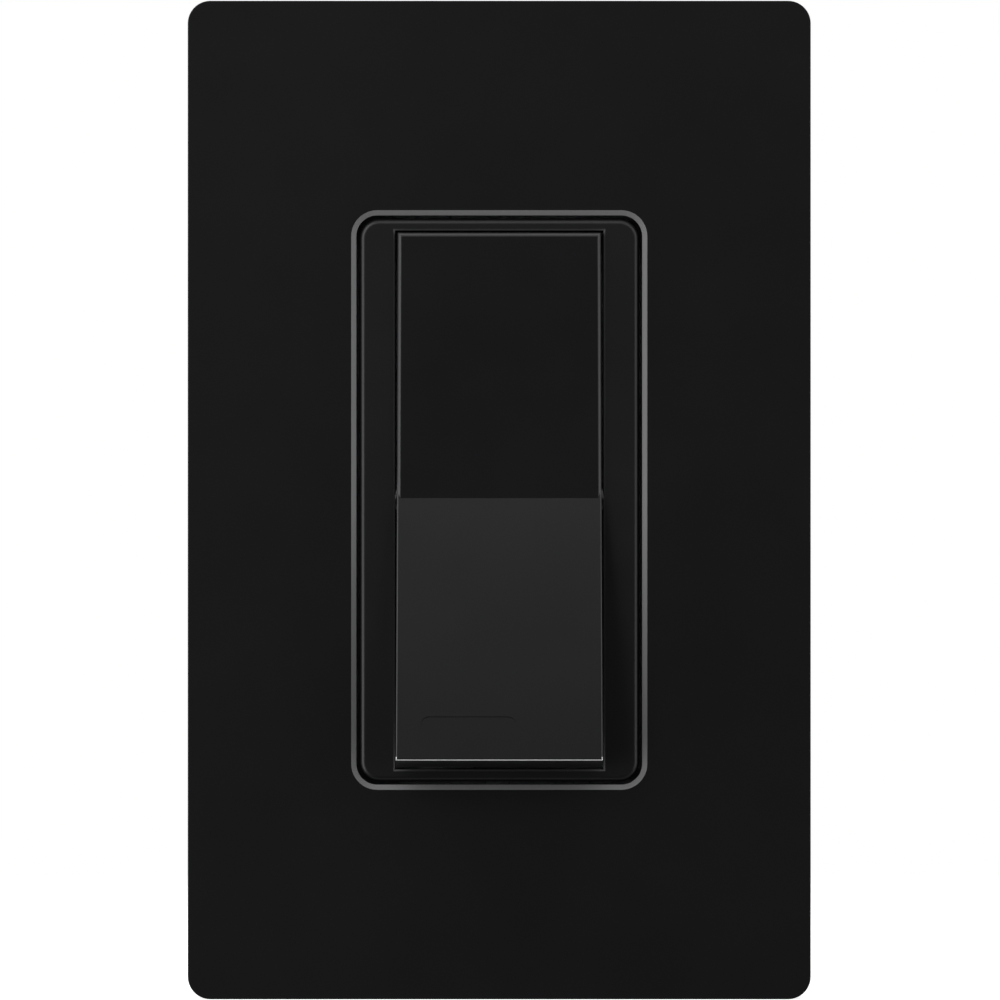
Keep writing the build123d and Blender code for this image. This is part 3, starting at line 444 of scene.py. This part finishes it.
def soften(node, width):
    """Stand in a CAD piece with its sharp edges broken, as stamping or moulding leaves them."""
    form = bmesh.new()
    form.from_mesh(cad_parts[node].data)
    bmesh.ops.remove_doubles(form, verts=form.verts, dist=WELD)
    bmesh.ops.dissolve_limit(
        form,
        angle_limit=math.radians(0.5),
        use_dissolve_boundaries=False,
        verts=form.verts,
        edges=form.edges,
    )
    mesh = bpy.data.meshes.new(node + "_soft")
    form.to_mesh(mesh)
    form.free()
    smooth(mesh)
    thing = bpy.data.objects.new(node + "_soft", mesh)
    bevel = thing.modifiers.new("bevel", "BEVEL")
    bevel.width = width
    bevel.segments = 2
    bevel.limit_method = "ANGLE"
    bevel.angle_limit = math.radians(40)
    bevel.use_clamp_overlap = True
    flatten = thing.modifiers.new("flatten", "WEIGHTED_NORMAL")
    flatten.weight = 100
    add_piece(node + "_shape", finished_mesh(thing), node)


# Screws: how finely they are cut, and the form of their threads as shares of the pitch or of the depth
COLUMNS = 36
ROWS_PER_TURN = 10
ROOT_FLAT = 0.1
FLANKS = 0.75
RUN_OUT = 0.8
RUN_OUT_DIP = 0.15
TIP_LENGTH = 0.25
TIP_RADIUS = 0.7

THREAD_6_32 = dict(core=1.34 * MM, crest=1.75 * MM, pitch=0.794 * MM)
THREAD_END = 0.25 * MM


class Screw:
    """A screw along +Z with its head's top at 0, built up in a bmesh."""

    def __init__(self, sides=None):
        self.form = bmesh.new()
        self.sides = sides

    def spot(self, column, radius, z):
        """A new corner in one of the columns round the axis."""
        turn = math.tau * column / COLUMNS
        return self.form.verts.new((radius * math.cos(turn), radius * math.sin(turn), z))

    def ring(self, radius, z, polygon=False):
        """A circle of corners, or one pressed into a polygon with the screw's number of sides."""
        corners = []
        for column in range(COLUMNS):
            reach = radius
            if polygon:
                step = math.tau / self.sides
                off_middle = (math.tau * column / COLUMNS) % step - step / 2
                reach = radius * math.cos(step / 2) / math.cos(off_middle)
            corners.append(self.spot(column, reach, z))
        return corners

    def bridge(self, above, below):
        """Faces between two rings."""
        for i in range(COLUMNS):
            j = (i + 1) % COLUMNS
            self.form.faces.new((above[i], above[j], below[j], below[i]))

    def fan(self, ring, z, outward):
        """Close a ring with faces to a point on the axis, which look along +Z or back."""
        apex = self.form.verts.new((0, 0, z))
        for i in range(COLUMNS):
            j = (i + 1) % COLUMNS
            first, second = (i, j) if outward else (j, i)
            self.form.faces.new((apex, ring[first], ring[second]))

    def head(self, outline, core, start):
        """The head and neck, down to the start of the thread."""
        rings = [self.ring(*row) for row in outline]
        rings.append(self.ring(core, start))
        self.fan(rings[0], outline[0][1], outward=False)
        for above, below in zip(rings, rings[1:]):
            self.bridge(above, below)

    def thread(self, core, crest, pitch, start, end):
        """A helical thread that fades out at both ends, and the tip after it."""
        depth = crest - core
        turns = math.ceil((end - start) / pitch) + 2
        count = ROWS_PER_TURN * turns + 1
        grid = []
        for column in range(COLUMNS):
            line = []
            for row in range(count):
                z = start + pitch * (row / ROWS_PER_TURN + column / COLUMNS - 1)
                z = min(max(z, start), end)
                ridge = 1 - abs(2 * (row % ROWS_PER_TURN) / ROWS_PER_TURN - 1)
                ridge = min(max((ridge - ROOT_FLAT) / FLANKS, 0), 1)
                fade = min((z - start) / (RUN_OUT * pitch), (end - z) / (RUN_OUT * pitch), 1)
                radius = core + depth * ridge * fade - RUN_OUT_DIP * depth * (1 - fade)
                if z == start:
                    radius = core
                line.append(self.spot(column, radius, z))
            grid.append(line)
        for i in range(COLUMNS):
            for j in range(count - 1):
                if i + 1 < COLUMNS:
                    corners = (grid[i][j], grid[i + 1][j], grid[i + 1][j + 1], grid[i][j + 1])
                    self.form.faces.new(corners)
                elif j + 1 + ROWS_PER_TURN < count:
                    # the last column meets the first one a turn further on
                    k = j + ROWS_PER_TURN
                    self.form.faces.new((grid[i][j], grid[0][k], grid[0][k + 1], grid[i][j + 1]))
        tip_radius = core - RUN_OUT_DIP * depth
        tip_end = end + TIP_LENGTH * pitch
        rim = self.ring(tip_radius, end)
        point = self.ring(TIP_RADIUS * tip_radius, tip_end)
        self.bridge(rim, point)
        self.fan(point, tip_end, outward=True)

    def mesh(self, name):
        """The finished mesh, closed and with its faces turned outward."""
        bmesh.ops.remove_doubles(self.form, verts=self.form.verts, dist=WELD)
        bmesh.ops.dissolve_degenerate(self.form, edges=self.form.edges, dist=WELD / 10)
        bmesh.ops.recalc_face_normals(self.form, faces=self.form.faces)
        mesh = bpy.data.meshes.new(name)
        self.form.to_mesh(mesh)
        self.form.free()
        return mesh


BOX_FACES = ((3, 2, 1, 0), (4, 5, 6, 7), (0, 1, 5, 4), (1, 2, 6, 5), (2, 3, 7, 6), (3, 0, 4, 7))
BOX_CORNERS = ((-1, -1), (1, -1), (1, 1), (-1, 1))
CUT_LIFT = 0.2 * MM


def cutter_mesh(name, top, length, width, foot_length, foot_width, depth, turn):
    """The wedge that a driver's opening takes out of a head: it starts a little above the top."""
    cutter = bmesh.new()
    grow = CUT_LIFT / depth
    mouth_length = length + (length - foot_length) * grow
    mouth_width = width + (width - foot_width) * grow
    corners = []
    for z, long, wide in (
        (top - CUT_LIFT, mouth_length, mouth_width),
        (top + depth, foot_length, foot_width),
    ):
        for x, y in BOX_CORNERS:
            corners.append(cutter.verts.new((x * long / 2, y * wide / 2, z)))
    for face in BOX_FACES:
        cutter.faces.new([corners[k] for k in face])
    bmesh.ops.rotate(cutter, verts=cutter.verts, matrix=Matrix.Rotation(turn, 3, "Z"))
    bmesh.ops.recalc_face_normals(cutter, faces=cutter.faces)
    mesh = bpy.data.meshes.new(name + "_cut")
    cutter.to_mesh(mesh)
    cutter.free()
    return mesh


def screw_mesh(name, outline, core, crest, pitch, start, end, cuts, sides=None):
    """A screw along +Z with its head's top at 0.

    outline is the head's profile from the rim of its top to the neck, as (radius, z) rows; a third
    entry of True makes a row a polygon with the given number of sides. The thread runs from start to
    end between the core and crest radii. cuts are the driver's openings: each is a wedge's length and
    width at the top, the same at its foot, its depth and its turn.
    """
    screw = Screw(sides)
    screw.head(outline, core, start)
    screw.thread(core, crest, pitch, start, end)
    mesh = screw.mesh(name)
    for cut in cuts:
        tool = bpy.data.objects.new(name + "_cut", cutter_mesh(name, outline[0][1], *cut))
        bpy.context.scene.collection.objects.link(tool)
        blank = bpy.data.objects.new(name + "_blank", mesh)
        boolean = blank.modifiers.new("cut", "BOOLEAN")
        boolean.operation = "DIFFERENCE"
        boolean.solver = "EXACT"
        boolean.object = tool
        mesh = finished_mesh(blank)
        bpy.data.objects.remove(tool)
    smooth(mesh)
    mesh.set_sharp_from_angle(angle=math.radians(SHARP_ANGLE))
    return mesh


def place_screws(node, mesh, heads, along, spin=0.0):
    """Stand copies of a screw in for a node: heads are the middles of the heads' tops.

    Each copy is turned 37 degrees further than the one before it, so the drives don't line up.
    """
    along = Vector(along)
    across = Vector((0, 0, 1)) if abs(along.z) < 0.5 else Vector((1, 0, 0))
    axes = Matrix((across, along.cross(across), along)).transposed().to_4x4()
    for number, head in enumerate(heads, 1):
        copy = mesh.copy()
        turn = Matrix.Rotation(math.radians(spin + 37 * number), 4, "Z")
        copy.transform(Matrix.Translation(head) @ axes @ turn)
        add_piece(f"{node.rstrip('s')}_{number}", copy, node)


def pan(radius, height, neck):
    """Profile of a pan head: a flat top that rounds over to a short straight rim."""
    round_share = 0.45 * radius
    round_height = 0.55 * height
    rows = []
    for degrees in range(0, 91, 15):
        turn = math.radians(degrees)
        rows.append((radius - round_share * (1 - math.sin(turn)), round_height * (1 - math.cos(turn))))
    return rows + [(radius, 0.93 * height), (0.97 * radius, height), (neck, height)]


def straight_cut(length, width, depth):
    """A slot right across a head."""
    return (length, width, length, width, depth, 0.0)


def cross_cuts(span, width, depth):
    """A cross recess: two wedges that narrow downward."""
    return [(span, width, 0.35 * span, 0.6 * width, depth, math.radians(turn)) for turn in (0, 90)]


def box_screws():
    """6-32 box screws with combination heads."""
    low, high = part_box("box_screws")
    head_radius = high.x
    reach = high.z - head_radius
    mesh = screw_mesh(
        "box_screw",
        pan(head_radius, height=1.9 * MM, neck=1.5 * MM),
        **THREAD_6_32,
        start=4.5 * MM,
        end=high.y - low.y - THREAD_END,
        cuts=[straight_cut(9 * MM, 0.9 * MM, 0.75 * MM), *cross_cuts(4.2 * MM, 0.95 * MM, 1.5 * MM)],
    )
    place_screws("box_screws", mesh, [(0, low.y, reach), (0, low.y, -reach)], (0, 1, 0))


def adapter_screws():
    """6-32 adapter screws with countersunk, slotted oval heads."""
    low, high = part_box("adapter_screws")
    head_radius = high.x
    reach = high.z - head_radius
    mesh = screw_mesh(
        "adapter_screw",
        [
            (0.35 * head_radius, 0),
            (0.7 * head_radius, 0.02 * MM),
            (0.97 * head_radius, 0.06 * MM),
            (head_radius, 0.12 * MM),
            (1.7 * MM, 1.98 * MM),
            (1.5 * MM, 2.2 * MM),
        ],
        core=1.32 * MM,
        crest=1.7 * MM,
        pitch=0.794 * MM,
        start=2.6 * MM,
        end=high.y - low.y - THREAD_END,
        cuts=[straight_cut(8 * MM, 0.9 * MM, 0.8 * MM)],
    )
    place_screws("adapter_screws", mesh, [(0, low.y, reach), (0, low.y, -reach)], (0, 1, 0), spin=-37)


def assembly_screws():
    """Long self-tapping screws put in from behind."""
    low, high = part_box("assembly_screws")
    head_radius = 2.2 * MM
    mesh = screw_mesh(
        "assembly_screw",
        pan(head_radius, height=1.5 * MM, neck=1.0 * MM),
        core=0.9 * MM,
        crest=1.25 * MM,
        pitch=0.9 * MM,
        start=2.2 * MM,
        end=high.y - low.y - THREAD_END,
        cuts=cross_cuts(2.6 * MM, 0.7 * MM, 1.1 * MM),
    )
    across, reach = high.x - head_radius, high.z - head_radius
    heads = [(x, high.y, z) for x in (-across, across) for z in (-reach, reach)]
    place_screws("assembly_screws", mesh, heads, (0, -1, 0))


def terminal_screws():
    """Brass binding-head terminal screws with combination slots."""
    low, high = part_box("terminal_screws")
    head_radius = (high.y - low.y) / 2
    middle = (low.y + high.y) / 2
    reach = high.z - head_radius
    mesh = screw_mesh(
        "terminal_screw",
        pan(head_radius, height=2.2 * MM, neck=1.7 * MM),
        core=1.6 * MM,
        crest=2.05 * MM,
        pitch=0.794 * MM,
        start=2.35 * MM,
        end=high.x - low.x - THREAD_END,
        cuts=[straight_cut(9 * MM, 1.0 * MM, 0.9 * MM), *cross_cuts(4.4 * MM, 1.0 * MM, 1.6 * MM)],
    )
    heads = [(high.x, middle, reach), (high.x, middle, -reach)]
    place_screws("terminal_screws", mesh, heads, (-1, 0, 0))


def ground_screw():
    """The green ground screw, with a slotted hexagonal head on a washer face."""
    low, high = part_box("ground_screw")
    head_radius = (high.y - low.y) / 2
    mesh = screw_mesh(
        "ground_screw",
        [
            (0.55 * head_radius, 0),
            (0.80 * head_radius, 0.02 * MM),
            (0.97 * head_radius, 0.3 * MM, True),
            (head_radius, 0.5 * MM, True),
            (head_radius, 1.85 * MM, True),
            (head_radius, 1.95 * MM),
            (head_radius, 2.4 * MM),
            (1.5 * MM, 2.4 * MM),
        ],
        **THREAD_6_32,
        start=2.6 * MM,
        end=high.x - low.x - THREAD_END,
        cuts=[straight_cut(8 * MM, 0.9 * MM, 0.8 * MM)],
        sides=6,
    )
    head = (low.x, (low.y + high.y) / 2, (low.z + high.z) / 2)
    place_screws("ground_screw", mesh, [head], (1, 0, 0), spin=-7)


def shortening_spring():
    """The plunger's spring: a copy of its CAD mesh, baked in place and attached to no body."""
    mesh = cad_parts["plunger_spring"].data.copy()
    spring = add_piece("spring_coil", mesh, "plunger_spring", body=None)
    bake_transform(spring)


box_screws()
adapter_screws()
assembly_screws()
terminal_screws()
ground_screw()

for node, edge_width in (
    ("strap", 0.12 * MM),
    ("adapter_plate", 0.15 * MM),
    ("mechanism_cover", 0.15 * MM),
    ("back_case", 0.2 * MM),
    ("screw_retainers", 0.12 * MM),
    ("load_terminal", 0.08 * MM),
    ("line_terminal", 0.08 * MM),
    ("bumpers", 0.35 * MM),
    ("off_stop", 0.1 * MM),
):
    soften(node, edge_width)

shortening_spring()

# ---------------------------------------------------------------- light tent, floor and camera

plate_front, plate_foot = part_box("faceplate")[0].yz

LIGHT_DISTANCE = 0.6
# The side panels graze the plate, one along each side, shifted to its upper left or lower right corner
SIDE_LEAN = 72
SIDE_SIZE = (0.97, 0.38)
SIDE_SHIFT = 0.085


def panel(name, around, off_axis, size, radiance, shift=0.0):
    """A soft light panel that faces the plate's middle.

    around is its direction round the plate, anticlockwise from +X seen from the room, and off_axis is
    its angle from the line of sight. size is its width round the plate and its depth along the line of
    sight, and shift moves it round the plate.
    """
    turn, lean = math.radians(around), math.radians(off_axis)
    aside = math.sin(lean)
    outward = Vector((math.cos(turn) * aside, -math.cos(lean), math.sin(turn) * aside))
    sideways = Vector((-math.sin(turn), 0, math.cos(turn)))
    lamp = bpy.data.lights.new(name, "AREA")
    lamp.shape = "RECTANGLE"
    lamp.size, lamp.size_y = size
    lamp.energy = radiance * math.pi * lamp.size * lamp.size_y
    holder = bpy.data.objects.new(name, lamp)
    axes = Matrix((sideways, outward.cross(sideways), outward)).transposed()
    place = outward * LIGHT_DISTANCE + sideways * shift
    holder.matrix_world = Matrix.Translation(place) @ axes.to_4x4()
    holder.visible_camera = False
    bpy.context.scene.collection.objects.link(holder)


panel("side_left", 180, SIDE_LEAN, SIDE_SIZE, 1.2, -SIDE_SHIFT)
panel("side_top", 90, SIDE_LEAN, SIDE_SIZE, 1.2, SIDE_SHIFT)
panel("side_right", 0, SIDE_LEAN, SIDE_SIZE, 1.2, -SIDE_SHIFT)
panel("side_bottom", -90, SIDE_LEAN, SIDE_SIZE, 0.4, SIDE_SHIFT)
panel("front_left", 171, 40, (0.8, 0.3), 2.4)
panel("front_top", 90, 36, (0.8, 0.25), 1.15)
panel("front_right", 9, 42, (0.6, 0.25), 1.1)
panel("back_left", 160, 140, (0.7, 0.4), 2.6)
panel("back_right", 20, 140, (0.7, 0.4), 2.0)
panel("back_top", 90, 130, (0.7, 0.25), 1.2)


def studio_world():
    """White where the camera sees it, and dim where it lights the object."""
    world = bpy.data.worlds.new("studio")
    bpy.context.scene.world = world
    world.use_nodes = True
    tree = world.node_tree
    dim = tree.nodes["Background"]
    dim.inputs["Color"].default_value = (0.012, 0.012, 0.0132, 1)
    white = tree.nodes.new("ShaderNodeBackground")
    white.inputs["Color"].default_value = (1, 1, 1, 1)
    path = tree.nodes.new("ShaderNodeLightPath")
    mix = tree.nodes.new("ShaderNodeMixShader")
    tree.links.new(path.outputs["Is Camera Ray"], mix.inputs["Fac"])
    tree.links.new(dim.outputs["Background"], mix.inputs[1])
    tree.links.new(white.outputs["Background"], mix.inputs[2])
    tree.links.new(mix.outputs["Shader"], tree.nodes["World Output"].inputs["Surface"])


def pale_floor(radius=0.3, solid_radius=0.15, gap=0.05 * MM):
    """A pale floor just under the plate's foot.

    It fades into the white around it, it is clear from below, and it adds no light to the object.
    """
    mesh = bpy.data.meshes.new("floor")
    form = bmesh.new()
    bmesh.ops.create_circle(form, cap_ends=True, segments=96, radius=radius)
    form.to_mesh(mesh)
    form.free()
    floor = bpy.data.objects.new("floor", mesh)
    floor.location = (0, 0, plate_foot - gap)
    floor.visible_glossy = False
    floor.visible_diffuse = False
    floor.visible_shadow = False
    bpy.context.scene.collection.objects.link(floor)
    paper = Finish("pale_floor", Roughness=0.9, Specular_IOR_Level=0.0, Emission_Strength=0.8)
    paper.shader.inputs["Base Color"].default_value = (0.8, 0.8, 0.8, 1)
    paper.shader.inputs["Emission Color"].default_value = (1, 1, 1, 1)
    distance = paper.tree.nodes.new("ShaderNodeVectorMath")
    distance.operation = "LENGTH"
    paper.tree.links.new(paper.place, distance.inputs[0])
    fading = paper.ramp(distance.outputs["Value"], 1, 0, solid_radius, radius)
    underside = paper.tree.nodes.new("ShaderNodeNewGeometry").outputs["Backfacing"]
    paper.link(paper.combine("MULTIPLY", fading, paper.ramp(underside, 1, 0)), "Alpha")
    mesh.materials.append(paper.material)


def straight_camera(distance=0.9, view_height=119.57 * MM, right=0.09 * MM):
    """Straight in front of the cover plate, which fills the height of the picture."""
    data = bpy.data.cameras.new("camera")
    data.sensor_width = 36
    data.lens = data.sensor_width * distance / view_height
    camera = bpy.data.objects.new("camera", data)
    camera.location = (right, plate_front - distance, 0)
    camera.rotation_euler = (math.radians(90), 0, 0)
    bpy.context.scene.collection.objects.link(camera)
    bpy.context.scene.camera = camera


studio_world()
pale_floor()
straight_camera()
bpy.context.scene.view_settings.view_transform = "Standard"
